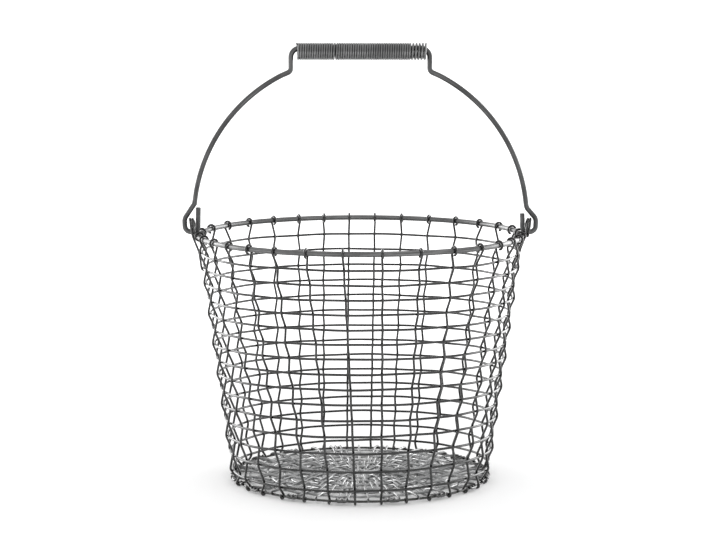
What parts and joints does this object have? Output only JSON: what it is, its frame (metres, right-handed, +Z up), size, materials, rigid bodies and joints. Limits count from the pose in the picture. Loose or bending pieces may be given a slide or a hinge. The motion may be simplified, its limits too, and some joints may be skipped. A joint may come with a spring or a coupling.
{
  "type": "wire basket with bail handle",
  "caption": "Tall round basket of woven steel wire, wider at its stout rim, standing on curled wire feet, with a swinging bail that carries a wound wire grip.",
  "frame": {"origin": "On the floor, at the middle of the basket's foot", "axes": "+Z up; the bail's pivots lie along X, and the front faces -Y"},
  "size_m": [0.3587, 0.3326, 0.4412],
  "materials": {
    "woven_wire": "drawn bare steel wire, satin, lightly dulled",
    "rim_wire": "drawn bare steel rod, satin, lightly rubbed",
    "bail_wire": "drawn bare steel rod, satin, darker where it is handled",
    "grip_wire": "drawn bare steel wire, satin, rubbed bright on its turns"
  },
  "bodies": {
    "basket": {"upright_01": "woven_wire", "upright_02": "woven_wire", "upright_03": "woven_wire", "upright_04": "woven_wire", "upright_05": "woven_wire", "upright_06": "woven_wire", "upright_07": "woven_wire", "upright_08": "woven_wire", "upright_09": "woven_wire", "upright_10": "woven_wire", "upright_11": "woven_wire", "upright_12": "woven_wire", "upright_13": "woven_wire", "upright_14": "woven_wire", "upright_15": "woven_wire", "upright_16": "woven_wire", "upright_17": "woven_wire", "upright_18": "woven_wire", "upright_19": "woven_wire", "upright_20": "woven_wire", "upright_21": "woven_wire", "upright_22": "woven_wire", "upright_23": "woven_wire", "upright_24": "woven_wire", "upright_25": "woven_wire", "upright_26": "woven_wire", "upright_27": "woven_wire", "upright_28": "woven_wire", "upright_29": "woven_wire", "upright_30": "woven_wire", "upright_31": "woven_wire", "upright_32": "woven_wire", "row_01": "woven_wire", "row_02": "woven_wire", "row_03": "woven_wire", "row_04": "woven_wire", "row_05": "woven_wire", "row_06": "woven_wire", "row_07": "woven_wire", "row_08": "woven_wire", "row_09": "woven_wire", "row_10": "woven_wire", "row_11": "woven_wire", "row_12": "woven_wire", "row_13": "woven_wire", "row_14": "woven_wire", "row_15": "woven_wire", "rim": "rim_wire", "base_outer_ring": "woven_wire", "base_ring_1": "woven_wire", "base_ring_2": "woven_wire", "base_ring_3": "woven_wire", "base_ring_4": "woven_wire", "base_ring_5": "woven_wire", "base_ring_6": "woven_wire", "base_spokes": "woven_wire", "ear_right": "woven_wire", "ear_left": "woven_wire"},
    "bail": {"bail": "bail_wire"},
    "grip": {"grip": "grip_wire"}
  },
  "joints": [
    {"name": "bail_swing", "type": "hinge", "parent": "basket", "child": "bail", "pos_m": [0, 0, 0.25697], "axis": [1, 0, 0], "range_deg": [-90, 90]},
    {"name": "grip_spin", "type": "hinge", "parent": "bail", "child": "grip", "pos_m": [0, 0, 0.43232], "axis": [1, 0, 0], "continuous": true}
  ]
}
